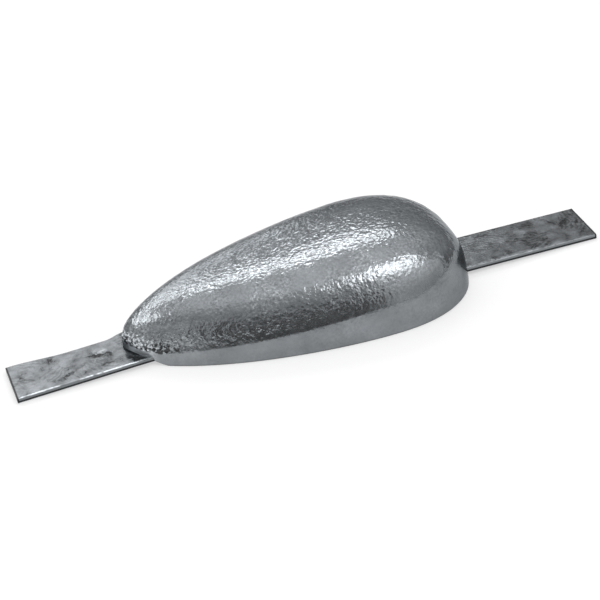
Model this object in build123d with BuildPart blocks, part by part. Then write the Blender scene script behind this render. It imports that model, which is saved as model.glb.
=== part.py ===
from build123d import *
from math import cos, pi, sin
import os

# A pear-shaped hull anode: zinc cast round one flat steel strap whose two ends are welded to the hull.
# X runs along the strap from the nose end to the blunt end and is 0 at the strap's middle.
# Z points away from the hull, which is at Z = 0.

# Strap: galvanised flat bar
STRAP_LENGTH = 320.0
STRAP_WIDTH = 32.0
STRAP_THICKNESS = 3.0
STRAP_EDGE_RADIUS = 0.5      # rolled long edges of the bar
STRAP_SEAT = 2.0             # height of the bar's underside above the hull inside the casting
STRAP_BEND_RADIUS = 60.0     # where each end is set down to the hull

# Casting: its place along the strap and its overall sizes
NOSE_SETBACK = 60.0          # bare strap ahead of the nose
CAST_LENGTH = 187.0
CAST_WIDTH = 100.0
CAST_HEIGHT = 42.0
WIDEST_AT = 131.0            # from the nose tip
HIGHEST_AT = 129.0           # from the nose tip
NOSE_UNDERCUT = 10.0         # the nose lies on top of the strap, with no zinc under it for this far

# Fullness of the casting's curves: 1 is a straight taper, 2 an ellipse, and more is a squarer shoulder
NOSE_PLAN_FULLNESS = 1.78
NOSE_PLAN_BLUNTNESS = 0.62
NOSE_SIDE_FULLNESS = 1.05
NOSE_SIDE_BLUNTNESS = 0.24
TAIL_PLAN_FULLNESS = 2.35
TAIL_SIDE_FULLNESS = 2.71
SECTION_FULLNESS = 2.8
NOSE_SECTION_FULLNESS = 2.0
SECTION_CHANGE_POWER = 3.6   # higher keeps the full section closer to the nose

# Cross sections of the casting: they crowd together towards both ends, where the curves turn fastest
SECTION_COUNT = 17
SECTION_POINTS = 24
FIRST_SECTION_TURN = 0.03    # shares of the half turn that spaces the sections
LAST_SECTION_TURN = 0.985
NOSE_SKIN_LENGTH = 14.0      # the skin is one face in the middle and one at each end
TAIL_SKIN_LENGTH = 12.0

CAST_NOSE = NOSE_SETBACK - STRAP_LENGTH / 2
CAST_TAIL = CAST_NOSE + CAST_LENGTH


def half_span(along, peak_at, peak, nose_fullness, nose_bluntness, tail_fullness):
    """Half width or height of the casting at a distance from its nose tip."""
    if along < peak_at:
        ahead = (peak_at - along) / peak_at
        return peak * (1 - ahead**nose_fullness) ** nose_bluntness
    behind = (along - peak_at) / (CAST_LENGTH - peak_at)
    return peak * (1 - behind**tail_fullness) ** (1 / tail_fullness)


def squared(value, fullness):
    """Change a circle's sine or cosine into that of a fuller curve, keeping its sign."""
    return abs(value) ** (2 / fullness) * (1 if value >= 0 else -1)


def section_outline(along):
    """Points round a whole cross section of the casting, mirrored below the hull plane."""
    half_width = half_span(
        along, WIDEST_AT, CAST_WIDTH / 2, NOSE_PLAN_FULLNESS, NOSE_PLAN_BLUNTNESS, TAIL_PLAN_FULLNESS
    )
    height = half_span(along, HIGHEST_AT, CAST_HEIGHT, NOSE_SIDE_FULLNESS, NOSE_SIDE_BLUNTNESS, TAIL_SIDE_FULLNESS)
    towards_nose = max(0, (WIDEST_AT - along) / WIDEST_AT) ** SECTION_CHANGE_POWER
    fullness = SECTION_FULLNESS + (NOSE_SECTION_FULLNESS - SECTION_FULLNESS) * towards_nose
    turns = [2 * pi * i / SECTION_POINTS - pi / 2 for i in range(SECTION_POINTS)]
    return [(half_width * squared(cos(turn), fullness), height * squared(sin(turn), fullness)) for turn in turns]


section_turns = [
    FIRST_SECTION_TURN + (LAST_SECTION_TURN - FIRST_SECTION_TURN) * i / (SECTION_COUNT - 1)
    for i in range(SECTION_COUNT)
]
section_stations = [CAST_LENGTH * (1 - cos(pi * turn)) / 2 for turn in section_turns]

# Underside of the strap seen from the side: level inside the casting, straight down to the hull outside it
strap_underside = [
    (-STRAP_LENGTH / 2, 0),
    (CAST_NOSE + NOSE_UNDERCUT, STRAP_SEAT),
    (CAST_TAIL, STRAP_SEAT),
    (STRAP_LENGTH / 2, 0),
]

with BuildPart() as steel_strap:
    with BuildSketch(Plane.XZ):
        with BuildLine():
            FilletPolyline(*strap_underside, radius=STRAP_BEND_RADIUS)
            offset(amount=STRAP_THICKNESS, side=Side.LEFT)
        make_face()
    extrude(amount=STRAP_WIDTH / 2, both=True)
    side_edges = steel_strap.faces().filter_by(Axis.Y).edges()
    long_edges = side_edges.filter_by(lambda edge: abs(edge.center().X) < STRAP_LENGTH / 2 - STRAP_THICKNESS)
    fillet(long_edges, STRAP_EDGE_RADIUS)

# Loft through whole sections that share their parameters, then keep the half above the hull
with BuildPart() as casting:
    for along in section_stations:
        with BuildSketch(Plane.YZ.offset(CAST_NOSE + along)):
            with BuildLine():
                outline = [Vector(*point) for point in section_outline(along)]
                shares = [i / SECTION_POINTS for i in range(SECTION_POINTS + 1)]
                add(Edge.make_spline(outline, periodic=True, parameters=shares))
            make_face()
    loft()
    split(bisect_by=Plane.XY, keep=Keep.TOP)
    # No zinc under the nose: this reaches the bar's mid thickness, and the bar's own seat does the rest
    with Locations((CAST_NOSE, 0, 0)):
        Box(
            2 * NOSE_UNDERCUT,
            CAST_WIDTH,
            STRAP_SEAT + STRAP_THICKNESS / 2,
            align=(Align.CENTER, Align.CENTER, Align.MIN),
            mode=Mode.SUBTRACT,
        )

nose_plane = Plane.YZ.offset(CAST_NOSE + NOSE_SKIN_LENGTH)
tail_plane = Plane.YZ.offset(CAST_TAIL - TAIL_SKIN_LENGTH)

with BuildPart() as anode_body:
    # The skin turns fastest at its two ends: a face of their own keeps the mesh of the long middle light
    add(split(casting.part, bisect_by=nose_plane, keep=Keep.BOTTOM, mode=Mode.PRIVATE))
    behind_nose = split(casting.part, bisect_by=nose_plane, keep=Keep.TOP, mode=Mode.PRIVATE)
    add(split(behind_nose, bisect_by=tail_plane, keep=Keep.BOTTOM, mode=Mode.PRIVATE), clean=False)
    add(split(behind_nose, bisect_by=tail_plane, keep=Keep.TOP, mode=Mode.PRIVATE), clean=False)
    add(steel_strap.part, mode=Mode.SUBTRACT, clean=False)

steel_strap.part.label = "steel_strap"
anode_body.part.label = "anode_body"

os.makedirs("parts", exist_ok=True)
export_step(steel_strap.part, "parts/steel_strap.step")
export_step(anode_body.part, "parts/anode_body.step")
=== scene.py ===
"""A pear-shaped weld-on hull anode: a zinc casting on a galvanised flat steel strap."""

from functools import cached_property, reduce
from math import cos, pi, radians, sin

import bpy
import numpy as np
from mathutils import Matrix, Vector, noise


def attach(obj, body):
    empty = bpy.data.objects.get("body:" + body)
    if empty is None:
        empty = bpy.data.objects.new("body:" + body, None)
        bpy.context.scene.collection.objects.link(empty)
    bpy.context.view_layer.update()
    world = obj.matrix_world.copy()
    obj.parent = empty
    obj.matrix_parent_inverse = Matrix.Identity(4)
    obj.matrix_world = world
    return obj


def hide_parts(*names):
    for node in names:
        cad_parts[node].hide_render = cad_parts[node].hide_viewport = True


MM = 0.001

# Lengths are in millimetres. X runs along the strap, with 0 at its middle, and "along" is the distance from
# the casting's nose tip. The near side is at -Y, and the hull is the plane Z = 0.

# Casting
CAST_NOSE = -100.0
CAST_LENGTH = 187.0
CAST_WIDTH = 100.0
CAST_HEIGHT = 42.0
WIDEST_AT = 131.0
HIGHEST_AT = 129.0
NOSE_UNDERCUT = 10.0
BACK_EDGE_RADIUS = 0.6

# Fullness of the casting's curves: 1 is a straight taper, 2 an ellipse, more is a squarer shoulder.
# The nose's curves have a bluntness too: 1 comes to a sharp tip, less is blunter.
NOSE_PLAN_FULLNESS = 1.78
NOSE_PLAN_BLUNTNESS = 0.62
NOSE_SIDE_FULLNESS = 1.05
NOSE_SIDE_BLUNTNESS = 0.24
TAIL_PLAN_FULLNESS = 2.35
TAIL_SIDE_FULLNESS = 2.71
SECTION_FULLNESS = 2.8
NOSE_SECTION_FULLNESS = 2.0
SECTION_CHANGE_POWER = 3.6

# Nose: its near side ends in a lip above the strap, and its far side runs out onto the strap
LIP_HEIGHT = 6.0
LIP_DEPTH = 4.5
LIP_START = 1.0
LIP_END = 18.5
LIP_DROP_POWER = 1.8
LIP_DROP_FLARE = 1.5
LIP_SHOULDER = 1.8
LIP_SHOULDER_HEIGHT = 9.5
LIP_SHOULDER_SPREAD = 4.0
RUN_OUT_FORWARD = 1.5
RUN_OUT_ASIDE = 1.75
RUN_OUT_HEIGHT = 9.0
RUN_OUT_HOLLOW = 2.2
RUN_OUT_FROM_EDGE = 0.3

# Mould draft: the walls lean in by up to this share of the casting's height there, most at half height
DRAFT = 0.03
DRAFT_AT_TAIL = 0.015
DRAFT_CHANGES = (120, 175)

# Belt: the smooth skirt ends at a height that rises from the nose. The crown leans in above it, and towards
# the tail the change from one to the other widens until it can't be followed.
BELT_HEIGHT_AT_NOSE = 5.5
BELT_RISE = 0.09
BELT_RISES_UNTIL = 125.0
BELT_RISE_AT_TIP = 3.5
BELT_TIP = (3, 16)
BELT_LEAN = 0.42
BELT_LEAN_OVER = 4.0
BELT_LEAN_ENDS_ABOVE = (10, 22)
BELT_LEAN_ENDS_ALONG = (120, 164)
BELT_WIDENS = (105, 160)

# Strap: flat bar, level inside the casting and set down to the hull at both ends
STRAP_LENGTH = 320.0
STRAP_WIDTH = 32.0
STRAP_THICKNESS = 3.0
STRAP_EDGE_RADIUS = 0.8
STRAP_SEAT = 2.0
STRAP_NOSE_BEND = CAST_NOSE + NOSE_UNDERCUT
STRAP_TAIL_BEND = CAST_NOSE + CAST_LENGTH
STRAP_BEND_SOFTNESS = 6.0

# The strap's far edge is drawn in ahead of the nose, and comes in and goes out again over stretches of X
STRAP_DRAWN_IN = 3.0
DRAWN_IN_COMES = (-158, -126)
DRAWN_IN_GOES = (-107, -96)

# Relief of the skins: height, wavelength, the noise's seed and its octaves
SWELL = (0.2, 34, 1, 1)
COARSE_PEEL = (0.05, 4.6, 2, 1)
FINE_PEEL = (0.075, 2.1, 3, 1)
PITS = (0.4, 1.9, 4, 2)
POUR_WAVES = (0.35, 11, 5, 3)
RIPPLES = (0.16, 3.2, 6, 2)
STRAP_WAVES = (0.03, 7, 11, 2)
STRAP_GRAIN = (0.012, 1.8, 12, 1)
SHRINKAGE = 0.5
STRAP_SINK = 0.03


def smoothstep(low, high, value):
    share = np.clip((np.asarray(value, float) - low) / (high - low), 0, 1)
    return share * share * (3 - 2 * share)


# ---------------------------------------------------------------- meshes


def tube_faces(stations, ring):
    """Quads between rings of points, and a face over each end."""
    quads = []
    for i in range(stations - 1):
        for j in range(ring):
            k = (j + 1) % ring
            quads.append((i * ring + j, (i + 1) * ring + j, (i + 1) * ring + k, i * ring + k))
    quads.append(tuple(range(ring)))
    quads.append(tuple((stations - 1) * ring + j for j in range(ring - 1, -1, -1)))
    return quads


def mesh_object(name, points, faces):
    mesh = bpy.data.meshes.new(name)
    mesh.from_pydata((points.reshape(-1, 3) * MM).tolist(), [], faces)
    mesh.shade_smooth()
    obj = bpy.data.objects.new(name, mesh)
    bpy.context.scene.collection.objects.link(obj)
    return obj


def vertex_normals(obj):
    values = np.empty(len(obj.data.vertices) * 3, np.float32)
    obj.data.vertices.foreach_get("normal", values)
    return values.reshape(-1, 3).astype(float)


def move_vertices(obj, points):
    obj.data.vertices.foreach_set("co", (points.reshape(-1, 3) * MM).astype(np.float32).ravel())
    obj.data.update()


def add_attribute(obj, name, values):
    attribute = obj.data.attributes.new(name, "FLOAT", "POINT")
    attribute.data.foreach_set("value", values.astype(np.float32).ravel())


def rough(points, height, wavelength, seed, octaves):
    """Smooth noise from about -height to height, with features of that wavelength."""
    shift = Vector((seed * 17.3, seed * 5.1, seed * 9.7))
    places = (Vector(point) / wavelength + shift for point in points.reshape(-1, 3).tolist())
    values = [noise.fractal(place, 0.9, 2.1, octaves) for place in places]
    return height * np.array(values).reshape(points.shape[:-1])


# ---------------------------------------------------------------- casting


def half_spans(along):
    """Half width and height of the casting."""

    def span(peak_at, peak, nose_fullness, nose_bluntness, tail_fullness):
        ahead = np.clip((peak_at - along) / peak_at, 0, 1)
        behind = np.clip((along - peak_at) / (CAST_LENGTH - peak_at), 0, 1)
        nose = (1 - ahead**nose_fullness) ** nose_bluntness
        tail = (1 - behind**tail_fullness) ** (1 / tail_fullness)
        return peak * np.where(along < peak_at, nose, tail)

    plan = (NOSE_PLAN_FULLNESS, NOSE_PLAN_BLUNTNESS, TAIL_PLAN_FULLNESS)
    side = (NOSE_SIDE_FULLNESS, NOSE_SIDE_BLUNTNESS, TAIL_SIDE_FULLNESS)
    return span(WIDEST_AT, CAST_WIDTH / 2, *plan), span(HIGHEST_AT, CAST_HEIGHT, *side)


def even_stations(count):
    """Places along the casting, evenly spaced on its skin, from a hair inside one tip to the other."""
    along = CAST_LENGTH * (1 - np.cos(np.linspace(0.012, 0.994, 6000) * pi)) / 2
    half_width, height = half_spans(along)
    step = np.sqrt(np.diff(along) ** 2 + (np.diff(half_width) ** 2 + np.diff(height) ** 2) / 2)
    travelled = np.concatenate([[0], np.cumsum(step)])
    return np.interp(np.linspace(0, travelled[-1], count), travelled, along)


def lower_edges(along, height):
    """Heights where the near and far skins stop: on the hull, and at the nose in the lip and the strap."""
    buried = STRAP_SEAT + STRAP_THICKNESS / 2
    far = buried * (1 - smoothstep(NOSE_UNDERCUT - 3, NOSE_UNDERCUT + 4, along))
    dropped = np.clip((along - LIP_START) / (LIP_END - LIP_START), 0, 1)
    near = LIP_HEIGHT * (1 - dropped**LIP_DROP_POWER) ** LIP_DROP_FLARE
    return np.minimum(near, height - 1), np.minimum(far, height - 1)


def half_section(along, lower_edge, count):
    """Evenly spaced distances from the middle plane and heights, from the lower edge up to the crown."""
    half_width, height = half_spans(along)
    towards_nose = np.clip((WIDEST_AT - along) / WIDEST_AT, 0, 1) ** SECTION_CHANGE_POWER
    power = 2 / (SECTION_FULLNESS + (NOSE_SECTION_FULLNESS - SECTION_FULLNESS) * towards_nose)
    turn = np.linspace(0, pi / 2, 700)
    across = half_width[:, None] * np.cos(turn).clip(0) ** power[:, None]
    upward = height[:, None] * np.sin(turn).clip(0) ** power[:, None]
    outward = np.empty((len(along), count))
    raised = np.empty((len(along), count))
    for i in range(len(along)):
        travelled = np.concatenate([[0], np.cumsum(np.hypot(np.diff(across[i]), np.diff(upward[i])))])
        wanted = np.linspace(np.interp(lower_edge[i], upward[i], travelled), travelled[-1], count)
        outward[i] = np.interp(wanted, travelled, across[i])
        raised[i] = np.interp(wanted, travelled, upward[i])
    outward[:, -1] = 0

    # The lower edge is rounded, less so at the tips, where the casting is narrow
    above = (raised - lower_edge[:, None]).clip(0, BACK_EDGE_RADIUS)
    inset = BACK_EDGE_RADIUS - np.sqrt(BACK_EDGE_RADIUS**2 - (BACK_EDGE_RADIUS - above) ** 2)
    return (outward - inset * np.minimum(1, half_width[:, None] / 3)).clip(0), raised


def casting_grid(stations, around, under):
    """Points of the closed casting, by station and round it: over the crown, then across the flat side."""
    along = even_stations(stations)
    _, height = half_spans(along)
    near_edge, far_edge = lower_edges(along, height)
    near_y, near_z = half_section(along, near_edge, around // 2 + 1)
    far_y, far_z = half_section(along, far_edge, around // 2 + 1)
    skin_y = np.hstack([-near_y, far_y[:, -2::-1]])
    skin_z = np.hstack([near_z, far_z[:, -2::-1]])

    # The flat side is level, but under the nose's near lip it drops away inwards to meet the strap
    share = (1 + np.cos(np.linspace(0, pi, under + 2)[1:-1])) / 2
    flat_y = -near_y[:, :1] + (near_y[:, :1] + far_y[:, :1]) * share
    inward = flat_y + near_y[:, :1]
    lip = (near_edge - far_edge)[:, None] * (1 - smoothstep(0, LIP_DEPTH, inward))
    flat_z = far_edge[:, None] + lip

    points = np.empty((stations, skin_y.shape[1] + under, 3))
    points[:, :, 0] = CAST_NOSE + along[:, None]
    points[:, :, 1] = np.hstack([skin_y, flat_y])
    points[:, :, 2] = np.hstack([skin_z, flat_z])
    return points


def shape_nose(points):
    """Bring the near side out over the strap's edge, and run the far side out in a hollow curve."""
    x, y, z = points[..., 0], points[..., 1], points[..., 2]
    along = x - CAST_NOSE
    shoulder = smoothstep(0, 7, along) * (1 - smoothstep(10, 22, along)) * (y < 0)
    shoulder *= np.exp(-(((z - LIP_SHOULDER_HEIGHT) / LIP_SHOULDER_SPREAD) ** 2))
    strap_top = STRAP_SEAT + STRAP_THICKNESS
    low_down = (RUN_OUT_HEIGHT - z).clip(0) / (RUN_OUT_HEIGHT - strap_top)
    run_out = smoothstep(1, 9, y) * (1 - smoothstep(8, 16, along)) * low_down**RUN_OUT_HOLLOW
    room = (STRAP_WIDTH / 2 - RUN_OUT_FROM_EDGE - y).clip(0)
    points[..., 0] -= RUN_OUT_FORWARD * run_out
    points[..., 1] += np.minimum(RUN_OUT_ASIDE * run_out, room) - LIP_SHOULDER * shoulder


def mould_lean(along, z):
    """How far the walls lean in, for draft and above the belt, and each point's height above the belt."""
    top = z.max(axis=1, keepdims=True)
    draft = DRAFT + (DRAFT_AT_TAIL - DRAFT) * smoothstep(*DRAFT_CHANGES, along)
    draft = draft * top * (1 - np.cos(2 * pi * np.minimum(z / top / 0.95, 1))) / 2
    belt = BELT_HEIGHT_AT_NOSE + BELT_RISE * np.clip(along, 0, BELT_RISES_UNTIL)
    belt += BELT_RISE_AT_TIP * (1 - smoothstep(*BELT_TIP, along))
    above = z - belt
    lean = BELT_LEAN * (1 - np.exp(-above.clip(0) / BELT_LEAN_OVER))
    lean *= (1 - smoothstep(*BELT_LEAN_ENDS_ABOVE, above)) * (1 - smoothstep(*BELT_LEAN_ENDS_ALONG, along))
    return (draft + lean) * smoothstep(0, 20, along), above


def make_casting(stations=415, around=200, under=36):
    points = casting_grid(stations, around, under)
    shape_nose(points)
    ring = points.shape[1]
    casting = mesh_object("zinc_casting", points, tube_faces(stations, ring))
    normals = vertex_normals(casting).reshape(points.shape)
    along, z = points[..., 0] - CAST_NOSE, points[..., 2]

    # Crown: the orange peel and swell of a rough mould, pits above the nose's lip, and ripples at the tail
    lean, above = mould_lean(along, z)
    crown = 0.15 + 0.85 * smoothstep(0, 7, above * (1 - 0.6 * smoothstep(*BELT_WIDENS, along)))
    pitted = smoothstep(38, 16, along) * smoothstep(-0.5, 1.5, above) * smoothstep(13, 5, above)
    rippled = smoothstep(148, 170, along) * smoothstep(2, 10, above)
    lift = rough(points, *SWELL) - lean
    lift += crown * (rough(points, *COARSE_PEEL) + rough(points, *FINE_PEEL))
    lift += rough(points, *PITS) * pitted
    lift += rough(points * (1, 1, 0.25), *RIPPLES) * rippled
    lift *= smoothstep(0, 3, z)

    # Flat side: dished by shrinkage, with the skin of an open pour
    flat = slice(around + 1, None)
    middle = np.sin(np.linspace(0, pi, ring - around - 1)) * smoothstep(14, 40, along[:, flat])
    middle *= 1 - smoothstep(170, 186, along[:, flat])
    lift[:, flat] = -middle * (SHRINKAGE + rough(points[:, flat], *POUR_WAVES))

    skin = np.ones(z.shape)
    skin[:, flat] = 0
    add_attribute(casting, "skin", skin)

    # The relief stays inside the casting's nominal box
    points += normals * lift[..., None]
    points[..., 0] = points[..., 0].clip(CAST_NOSE, CAST_NOSE + CAST_LENGTH - 0.1)
    points[..., 1] = points[..., 1].clip(-CAST_WIDTH / 2, CAST_WIDTH / 2)
    points[..., 2] = points[..., 2].clip(0, CAST_HEIGHT)
    move_vertices(casting, points)
    return casting


# ---------------------------------------------------------------- strap


def strap_underside(x):
    """Height of the bar's underside above the hull, with softened bends."""

    def drop(beyond, run):
        slope = STRAP_SEAT / run
        return slope * (np.sqrt(beyond**2 + STRAP_BEND_SOFTNESS**2) + beyond - STRAP_BEND_SOFTNESS) / 2

    nose_run = STRAP_LENGTH / 2 + STRAP_NOSE_BEND
    tail_run = STRAP_LENGTH / 2 - STRAP_TAIL_BEND
    return STRAP_SEAT - drop(STRAP_NOSE_BEND - x, nose_run) - drop(x - STRAP_TAIL_BEND, tail_run)


def strap_section(across_top, across_side):
    """Points round the bar's section, from one long edge over the top: y, and height above the underside."""
    half, radius = STRAP_WIDTH / 2, STRAP_EDGE_RADIUS
    flat, rise = half - radius, STRAP_THICKNESS - 2 * radius
    corner = np.linspace(0, pi / 2, 6)
    quarter = np.stack([radius * np.cos(corner), radius * np.sin(corner)], -1)
    top_y = np.linspace(flat, -flat, across_top)[1:-1]
    side_z = np.linspace(radius + rise, radius, across_side + 2)[1:-1]
    far_top = quarter + (flat, radius + rise)
    top = np.stack([top_y, np.full(len(top_y), STRAP_THICKNESS)], -1)
    near_top = quarter[::-1] * (-1, 1) + (-flat, radius + rise)
    side = np.stack([np.full(len(side_z), -half), side_z], -1)
    over = np.concatenate([far_top, top, near_top, side])
    under = (0, STRAP_THICKNESS) - over
    return np.concatenate([over, under])


def make_strap(stations=641, end_loop=0.08):
    section = strap_section(62, 3)
    end = STRAP_LENGTH / 2
    x = np.concatenate([[-end], np.linspace(-end + end_loop, end - end_loop, stations - 2), [end]])
    points = np.empty((stations, len(section), 3))
    points[..., 0] = x[:, None]
    points[..., 1] = section[:, 0]
    points[..., 2] = strap_underside(x)[:, None] + section[:, 1]
    drawn_in = STRAP_DRAWN_IN * smoothstep(*DRAWN_IN_COMES, x) * (1 - smoothstep(*DRAWN_IN_GOES, x))
    points[..., 1] -= drawn_in[:, None] * smoothstep(-4, 15, points[..., 1])

    faces = [tuple(reversed(face)) for face in tube_faces(stations, len(section))]
    strap = mesh_object("galvanised_strap", points, faces)
    for sheared_end in strap.data.polygons[-2:]:
        sheared_end.use_smooth = False
    add_attribute(strap, "rise", np.tile(section[:, 1] / STRAP_THICKNESS, stations))

    # The zinc coat's waves, outside the casting, and half as deep on the sides and underneath
    normals = vertex_normals(strap).reshape(points.shape)
    outside = (points[..., 0] < STRAP_NOSE_BEND + 2) | (points[..., 0] > STRAP_TAIL_BEND - 3)
    upper = section[:, 1] > STRAP_THICKNESS - STRAP_EDGE_RADIUS
    lift = rough(points, *STRAP_WAVES) + rough(points, *STRAP_GRAIN) - STRAP_SINK
    points += normals * (lift * outside * np.where(upper, 1.0, 0.5))[..., None]
    points[..., 0] = points[..., 0].clip(-end, end)
    points[..., 2] = points[..., 2].clip(0)
    move_vertices(strap, points)
    return strap


# ---------------------------------------------------------------- nodes


class Nodes:
    """A node tree, with short ways to add the nodes used here."""

    def __init__(self, tree):
        self.tree = tree

    @cached_property
    def place(self):
        """A point's place on the object, in millimetres."""
        return self.vector("SCALE", self.add("TexCoord").outputs["Object"], 1 / MM)

    def add(self, kind):
        return self.tree.nodes.new("ShaderNode" + kind)

    def link(self, value, socket):
        if isinstance(value, (int, float, tuple)):
            socket.default_value = value
        else:
            self.tree.links.new(value, socket)

    def math(self, operation, *values):
        made = self.add("Math")
        made.operation = operation
        for value, socket in zip(values, made.inputs):
            self.link(value, socket)
        return made.outputs[0]

    def total(self, *values):
        return reduce(lambda first, second: self.math("ADD", first, second), values)

    def product(self, *values):
        return reduce(lambda first, second: self.math("MULTIPLY", first, second), values)

    def vector(self, operation, first, second):
        made = self.add("VectorMath")
        made.operation = operation
        self.link(first, made.inputs[0])
        self.link(second, made.inputs["Scale"] if operation == "SCALE" else made.inputs[1])
        return made.outputs["Value"] if operation == "DOT_PRODUCT" else made.outputs[0]

    def split(self, vector):
        made = self.add("SeparateXYZ")
        self.link(vector, made.inputs[0])
        return made.outputs

    def combine(self, *values):
        made = self.add("CombineXYZ")
        for value, socket in zip(values, made.inputs):
            self.link(value, socket)
        return made.outputs[0]

    def noise_outputs(self, size, detail, roughness):
        made = self.add("TexNoise")
        made.inputs["Scale"].default_value = 1 / size
        made.inputs["Detail"].default_value = detail
        made.inputs["Roughness"].default_value = roughness
        self.link(self.place, made.inputs["Vector"])
        return made.outputs

    def noise(self, size, detail=2.0, roughness=0.5):
        return self.noise_outputs(size, detail, roughness)[0]

    def noise_vector(self, size, detail=2.0, roughness=0.5):
        return self.noise_outputs(size, detail, roughness)[1]

    def cells(self, size, place):
        """Three random numbers for each cell of an irregular pattern."""
        made = self.add("TexVoronoi")
        made.inputs["Scale"].default_value = 1 / size
        self.link(place, made.inputs["Vector"])
        return self.split(made.outputs["Color"])

    def attribute(self, name):
        made = self.add("Attribute")
        made.attribute_name = name
        return made.outputs["Fac"]

    def spread(self, value, low, high, to_low, to_high):
        """From to_low to to_high while the value goes from low to high, and level beyond both ends."""
        made = self.add("MapRange")
        self.link(value, made.inputs["Value"])
        for socket, number in zip(list(made.inputs)[1:5], (low, high, to_low, to_high)):
            socket.default_value = number
        return made.outputs["Result"]

    def mix(self, share, first, second):
        made = self.add("Mix")
        self.link(share, made.inputs[0])
        self.link(first, made.inputs[2])
        self.link(second, made.inputs[3])
        return made.outputs[0]

    def mix_colours(self, share, first, second):
        made = self.add("Mix")
        made.data_type = "RGBA"
        self.link(share, made.inputs[0])
        self.link(first, made.inputs[6])
        self.link(second, made.inputs[7])
        return made.outputs[2]

    def ramp(self, value, stops, tint=(1, 1, 1)):
        """Tinted greys between stops of position and brightness."""
        made = self.add("ValToRGB")
        elements = made.color_ramp.elements
        while len(elements) < len(stops):
            elements.new(1)
        for element, (position, grey) in zip(elements, stops):
            element.position = position
            element.color = (grey * tint[0], grey * tint[1], grey * tint[2], 1)
        self.link(value, made.inputs["Fac"])
        return made.outputs["Color"]


class Material(Nodes):
    """A material's node tree, with its shader."""

    def __init__(self, name):
        self.material = bpy.data.materials.new(name)
        self.material.use_nodes = True
        super().__init__(self.material.node_tree)
        self.shader = self.tree.nodes["Principled BSDF"]

    def set(self, **values):
        """Set or link the shader's sockets, named with _ for a space."""
        for name, value in values.items():
            self.link(value, self.shader.inputs[name.replace("_", " ")])

    def bump(self, height, depth, strength=1.0):
        made = self.add("Bump")
        made.inputs["Distance"].default_value = depth * MM
        self.link(strength, made.inputs["Strength"])
        self.link(height, made.inputs["Height"])
        self.set(Normal=made.outputs["Normal"])


# ---------------------------------------------------------------- materials

METAL_TINT = (0.94, 1.0, 1.05)

# Greys of the metals, as stops of tone and brightness
ZINC_GREYS = ((0.0, 0.06), (0.3, 0.22), (0.7, 0.36), (1.0, 0.75))
GALVANISED_GREYS = ((0.0, 0.03), (0.17, 0.14), (0.32, 0.235), (0.5, 0.33), (0.8, 0.85))

# Flakes of the strap's zinc coat, and the feathery stripes across each of them
FLAKE_SIZE = 13.0
FEATHER_PERIOD = 2.4

# Marks on the strap's top: middle x and y, length, width, angle from X in degrees, change of tone. The first
# and third are painted shadow on the strap under the nose's lip.
STRAP_MARKS_AND_SHADOWS = (
    (-96.2, -12.0, 9, 3.0, -66, -1.0),
    (-111.0, -5.0, 16, 18, 0, -0.25),
    (-92.5, -15.0, 7, 2.6, -40, -1.0),
    (-136.9, 11.0, 13, 1.6, 78, -0.35),
    (-131.5, -9.4, 9, 2.6, 34, -0.65),
    (-123.5, -10.5, 12, 4.5, 10, -0.15),
    (-112.0, 3.8, 5, 3.4, 0, 0.7),
    (-114.0, -2.0, 5, 2.4, 0, 0.6),
    (-114.0, 1.4, 15, 1.8, -8, -0.6),
    (-107.5, -1.0, 9, 2.2, 80, -0.5),
    (-110.0, -8.5, 9, 2.0, 5, -0.35),
    (-154.3, 0.3, 2.6, 1.6, 20, -0.3),
    (104.0, 11.5, 7, 2.2, 10, -0.4),
    (143.0, 7.0, 8, 2.0, -65, -0.55),
    (150.0, 4.6, 12, 2.2, 42, -0.55),
    (155.5, 2.0, 5, 2.5, 20, -0.4),
    (134.0, -8.5, 4, 2.6, 0, -0.45),
)


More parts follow.
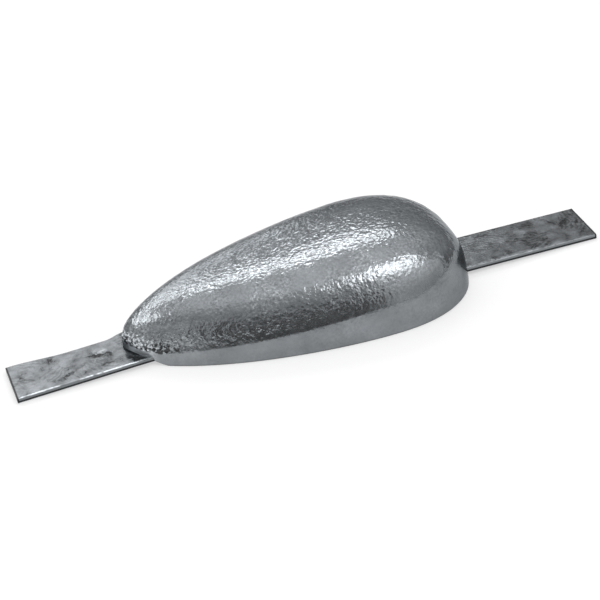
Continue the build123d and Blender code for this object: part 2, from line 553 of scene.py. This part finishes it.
def zinc_material():
    """As-cast zinc: dull grey, slightly blue, with a grainy crown, a smooth skirt with painted shade, pores
    with painted shade and painted glints by the nose, a painted sheen at the lip and painted shade where it
    meets the hull.
    """
    zinc = Material("cast_zinc")
    x, y, z = zinc.split(zinc.place)
    along = zinc.total(x, -CAST_NOSE)
    tip = zinc.spread(along, *BELT_TIP, BELT_HEIGHT_AT_NOSE + BELT_RISE_AT_TIP, BELT_HEIGHT_AT_NOSE)
    above = zinc.math("SUBTRACT", z, zinc.total(zinc.product(along, BELT_RISE), tip))
    crown = zinc.spread(zinc.product(above, zinc.spread(along, *BELT_WIDENS, 1, 0.27)), 0, 6, 0.2, 1)

    # Clouds all over, patches of grain on the crown, and painted shade on the skirt, which is made darker for
    # the shadowed floor that it reflects
    grain = zinc.spread(zinc.noise(1.3, 2, 0.6), 0.35, 0.65, -0.5, 0.5)
    patches = zinc.spread(zinc.noise(16), 0.4, 0.6, 0.3, 1)
    skirt = zinc.math("SUBTRACT", crown, 1)
    tone = zinc.total(
        zinc.noise(18, 4, 0.6),
        zinc.product(grain, crown, patches),
        # painted shade: the skirt darker than the crown, more so towards the tail
        zinc.product(skirt, zinc.spread(along, 60, 110, 0.29, 0.42)),
    )

    # Painted shade in pores and painted glints on grains just above the skirt at the nose: dark low down,
    # bright towards the tip
    zone = zinc.product(
        zinc.spread(along, 16, 31, 1, 0),
        zinc.spread(above, 4, 8, 1, 0),
        zinc.spread(above, -0.5, 1, 0, 1),
    )
    pore_shade_and_glints = zinc.total(
        zinc.spread(zinc.noise(1.9), 0.4, 0.6, -1.3, 1.3),
        zinc.spread(above, 1, 5, -0.6, 0.1),
        zinc.spread(along, 6, 16, 0.95, -0.3),
    )

    # Painted sheen on the skirt at the nose's lip, and painted shade low down on the skin, where it meets the
    # hull
    skin = zinc.attribute("skin")
    lip_sheen = zinc.product(
        zinc.spread(along, 8, 15, 1.5, 0),
        zinc.spread(y, -8, -1, 1, 0),
        zinc.spread(above, -0.3, 0.6, 1, 0),
        skin,
    )
    foot_shade = zinc.product(zinc.spread(z, 0.3, 0.8, -1.2, 0), skin)
    tone = zinc.total(tone, zinc.product(zone, pore_shade_and_glints), lip_sheen, foot_shade)
    polish = zinc.spread(zinc.noise(5, 3), 0.3, 0.7, 0.13, 0.23)
    zinc.set(
        Metallic=1.0,
        Specular_Tint=(0.6, 0.61, 0.62, 1),
        Base_Color=zinc.ramp(zinc.spread(tone, -0.5, 1.5, 0, 1), ZINC_GREYS, METAL_TINT),
        Roughness=zinc.total(polish, zinc.product(lip_sheen, 0.22)),
    )
    zinc.bump(zinc.total(zinc.noise(1.7, 1), zinc.noise(4, 1)), 0.26, crown)
    return zinc.material


def flakes(bar):
    """Each zinc flake's own tone, and feathery stripes that cross each flake its own way."""
    bent = bar.vector("ADD", bar.place, bar.vector("SCALE", bar.noise_vector(9, 3, 0.6), 10))
    turn, tone, strength = bar.cells(FLAKE_SIZE, bent)
    turn = bar.product(turn, 2 * pi)
    across = bar.combine(bar.math("COSINE", turn), bar.math("SINE", turn))
    phase = bar.product(bar.vector("DOT_PRODUCT", bent, across), 2 * pi / FEATHER_PERIOD)
    return tone, bar.product(bar.math("SINE", phase), bar.spread(strength, 0.2, 0.8, 0, 1))


def scuffs_and_lip_shadow(bar, x, y):
    """Changes of tone by scuffing and dross spots with ragged edges, and painted shadow under the nose's lip.
    """
    ragged = bar.vector("SUBTRACT", bar.noise_vector(3.5, 3, 0.6), (0.5, 0.5, 0.5))
    wobble_x, wobble_y, _ = bar.split(bar.vector("SCALE", ragged, 9))
    x, y = bar.total(x, wobble_x), bar.total(y, wobble_y)
    marks_and_shadow = []
    for middle_x, middle_y, length, width, angle, change in STRAP_MARKS_AND_SHADOWS:
        aside_x, aside_y = bar.total(x, -middle_x), bar.total(y, -middle_y)
        c, s = cos(radians(angle)), sin(radians(angle))
        lengthwise = bar.total(bar.product(aside_x, 2 * c / length), bar.product(aside_y, 2 * s / length))
        sideways = bar.total(bar.product(aside_y, 2 * c / width), bar.product(aside_x, -2 * s / width))
        square = bar.total(bar.math("POWER", lengthwise, 2), bar.math("POWER", sideways, 2))
        marks_and_shadow.append(bar.product(bar.math("EXPONENT", bar.product(square, -1)), change))
    return bar.total(*marks_and_shadow)


def corner_highlight(bar, x, y):
    """Painted highlight along the near corner: a broken line at the nose end, a faint band at the tail end.
    """
    from_corner = bar.total(y, STRAP_WIDTH / 2)
    line = bar.spread(from_corner, 0.8, 1.2, 1, 0)
    line = bar.product(line, bar.spread(bar.noise(8), 0.36, 0.46, 0.3, 1))
    band = bar.spread(from_corner, 1.2, 3.0, 0.35, 0)
    band = bar.product(band, bar.spread(bar.noise(5, 3), 0.35, 0.6, 0.3, 1))
    return bar.mix(bar.spread(x, -60, 60, 0, 1), line, band)


def galvanised_material():
    """Hot-dip galvanised bar: faint feathery flakes, scuffing and dross spots, painted shadow under the
    nose's lip, painted shade on the sides, the far edge and past the tail, and a painted highlight on the
    near corner.
    """
    bar = Material("galvanised_steel")
    x, y, _ = bar.split(bar.place)
    rise = bar.attribute("rise")
    mottle = bar.noise(6, 5, 0.65)
    flake, feather = flakes(bar)
    # scuffing and dross spots, and painted shadow under the nose's lip, on the top only
    marks_and_shadow = bar.product(scuffs_and_lip_shadow(bar, x, y), bar.spread(rise, 0.4, 0.6, 0, 1))
    tone = bar.total(
        bar.product(flake, 0.22),
        bar.product(feather, 0.11),
        bar.spread(mottle, 0.3, 0.7, 0.09, 0.67),
        # painted shade: darker towards and beyond the casting's tail
        bar.spread(x, 60, 100, 0, -0.16),
        marks_and_shadow,
        corner_highlight(bar, x, y),
        # painted shade: a thin dark line along the far edge
        bar.spread(y, STRAP_WIDTH / 2 - 0.9, STRAP_WIDTH / 2 - 0.5, 0, -0.6),
    )

    # Painted shade on the long sides: mid grey at the top and dark low down, towards the hull. The sheared
    # ends are made dark.
    off_side = bar.math("SUBTRACT", STRAP_WIDTH / 2, bar.math("ABSOLUTE", y))
    off_end = bar.math("SUBTRACT", STRAP_LENGTH / 2, bar.math("ABSOLUTE", x))
    side_shade = bar.spread(rise, 0.4, 0.62, -0.05, 0.62)
    tone = bar.mix(bar.spread(off_side, 0.05, 0.25, 1, 0), tone, side_shade)
    tone = bar.mix(bar.spread(off_end, 0.7, 1.0, 1, 0), tone, 0.0)
    bar.set(
        Metallic=1.0,
        Base_Color=bar.ramp(bar.product(tone, 0.5), GALVANISED_GREYS, METAL_TINT),
        Roughness=bar.spread(mottle, 0.3, 0.7, 0.26, 0.4),
    )
    relief = bar.total(bar.noise(2, 4, 0.65), bar.product(marks_and_shadow, 1.5), bar.product(feather, 0.15))
    bar.bump(relief, 0.22)
    return bar.material


# ---------------------------------------------------------------- camera, floor and light

# Place in metres, angles in degrees, and the focal length for a sensor 36 mm wide
CAMERA_PLACE = (-0.21735, -0.86654, 0.56127)
CAMERA_AZIMUTH = 13.873
CAMERA_ELEVATION = 31.982
CAMERA_ROLL = 8.358
CAMERA_FOCAL = 120.04
SENSOR_WIDTH = 36.0

FLOOR_HALF_WIDTH = 900.0
PAPER_GREY = 0.92
PAPER_WHITENING = 0.5

# Surroundings in front of the object and behind it, as (share of the way from straight down up, brightness)
FRONT_SKY = ((0.44, 0.85), (0.46, 0.14), (0.62, 0.16), (0.7, 0.45), (0.81, 0.55), (0.915, 0.68), (1.0, 1.2))
BACK_SKY = ((0.44, 0.85), (0.49, 0.38), (0.6, 0.5), (0.7, 0.58), (0.85, 0.8), (1.0, 1.2))

# Lamps as (name, azimuth from +Y towards +X, height above the horizon, size in metres, brightness)
LAMPS = (
    ("left", -76, 41, (0.75, 0.34), 2.1),
    ("left_low", -113, 16, (1.25, 0.5), 0.45),
    ("behind_left", -25, 36, (0.6, 0.3), 2.5),
    ("behind", 12, 48, (0.6, 0.14), 5.6),
    ("behind_low", -5, 18, (0.5, 0.3), 1.5),
    ("right", 142, 49, (0.8, 0.5), 1.8),
    ("right_core", 140, 57, (0.6, 0.34), 1.9),
    ("right_low", 136, 18, (1.5, 0.7), 0.7),
)
LAMP_DISTANCE = 1.15


def direction(azimuth, elevation):
    azimuth, elevation = radians(azimuth), radians(elevation)
    return Vector((sin(azimuth) * cos(elevation), cos(azimuth) * cos(elevation), sin(elevation)))


def link_object(name, data, matrix):
    obj = bpy.data.objects.new(name, data)
    obj.matrix_world = matrix
    bpy.context.scene.collection.objects.link(obj)
    return obj


def add_camera():
    forward = direction(CAMERA_AZIMUTH, -CAMERA_ELEVATION)
    level = direction(CAMERA_AZIMUTH + 90, 0)
    right = Matrix.Rotation(radians(CAMERA_ROLL), 3, forward) @ level
    turn = Matrix((right, right.cross(forward), -forward)).transposed().to_4x4()
    data = bpy.data.cameras.new("camera")
    data.lens = CAMERA_FOCAL
    data.sensor_width = SENSOR_WIDTH
    data.clip_start = 0.01
    bpy.context.scene.camera = link_object("camera", data, Matrix.Translation(CAMERA_PLACE) @ turn)


def add_floor():
    half = FLOOR_HALF_WIDTH
    corners = np.array([(-half, -half, 0), (half, -half, 0), (half, half, 0), (-half, half, 0)])
    floor = mesh_object("floor", corners, [(0, 1, 2, 3)])
    paper = Material("white_paper")
    paper.set(Base_Color=(PAPER_GREY, PAPER_GREY, PAPER_GREY, 1), Roughness=1.0, Specular_IOR_Level=0.0)

    # Seen directly or in the metal, the paper is part way to plain white, so that the shadow on it is faint
    rays = paper.add("LightPath").outputs
    seen = paper.math("MAXIMUM", rays["Is Camera Ray"], rays["Is Glossy Ray"])
    blend = paper.add("MixShader")
    paper.link(paper.product(seen, PAPER_WHITENING), blend.inputs[0])
    paper.link(paper.shader.outputs[0], blend.inputs[1])
    paper.link(paper.add("Emission").outputs[0], blend.inputs[2])
    paper.link(blend.outputs[0], paper.tree.nodes["Material Output"].inputs["Surface"])
    floor.data.materials.append(paper.material)


def add_lamps():
    for name, azimuth, elevation, size, brightness in LAMPS:
        data = bpy.data.lights.new(name, "AREA")
        data.shape = "RECTANGLE"
        data.size, data.size_y = size
        data.energy = brightness * pi * size[0] * size[1]
        towards = direction(azimuth, elevation)
        turn = (-towards).to_track_quat("-Z", "Y").to_matrix().to_4x4()
        lamp = link_object(name, data, Matrix.Translation(towards * LAMP_DISTANCE) @ turn)
        lamp.visible_camera = False


def add_surroundings():
    """A studio that is pale overhead and behind the object, and dark low down in front of it."""
    world = bpy.data.worlds.new("studio")
    world.use_nodes = True
    studio = Nodes(world.node_tree)
    _, y, z = studio.split(studio.add("TexCoord").outputs["Generated"])
    height = studio.spread(z, -1, 1, 0, 1)
    behind = studio.spread(y, -0.4, 0.4, 0, 1)
    sky = studio.mix_colours(behind, studio.ramp(height, FRONT_SKY), studio.ramp(height, BACK_SKY))
    studio.link(sky, studio.tree.nodes["Background"].inputs["Color"])
    bpy.context.scene.world = world


# ---------------------------------------------------------------- scene

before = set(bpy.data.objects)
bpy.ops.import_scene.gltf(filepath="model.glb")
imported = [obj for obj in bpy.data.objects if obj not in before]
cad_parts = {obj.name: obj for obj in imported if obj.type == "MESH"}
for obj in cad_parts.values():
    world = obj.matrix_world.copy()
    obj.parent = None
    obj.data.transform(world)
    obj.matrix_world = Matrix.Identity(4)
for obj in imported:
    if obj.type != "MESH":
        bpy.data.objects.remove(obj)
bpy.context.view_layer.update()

for make_piece, material, cad_node, slot in (
    (make_casting, zinc_material(), "anode_body", "zinc"),
    (make_strap, galvanised_material(), "steel_strap", "galvanised_steel"),
):
    piece = make_piece()
    piece.data.materials.append(material)
    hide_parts(cad_node)
    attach(piece, "root")

add_floor()
add_lamps()
add_surroundings()
add_camera()
bpy.context.scene.view_settings.view_transform = "Standard"
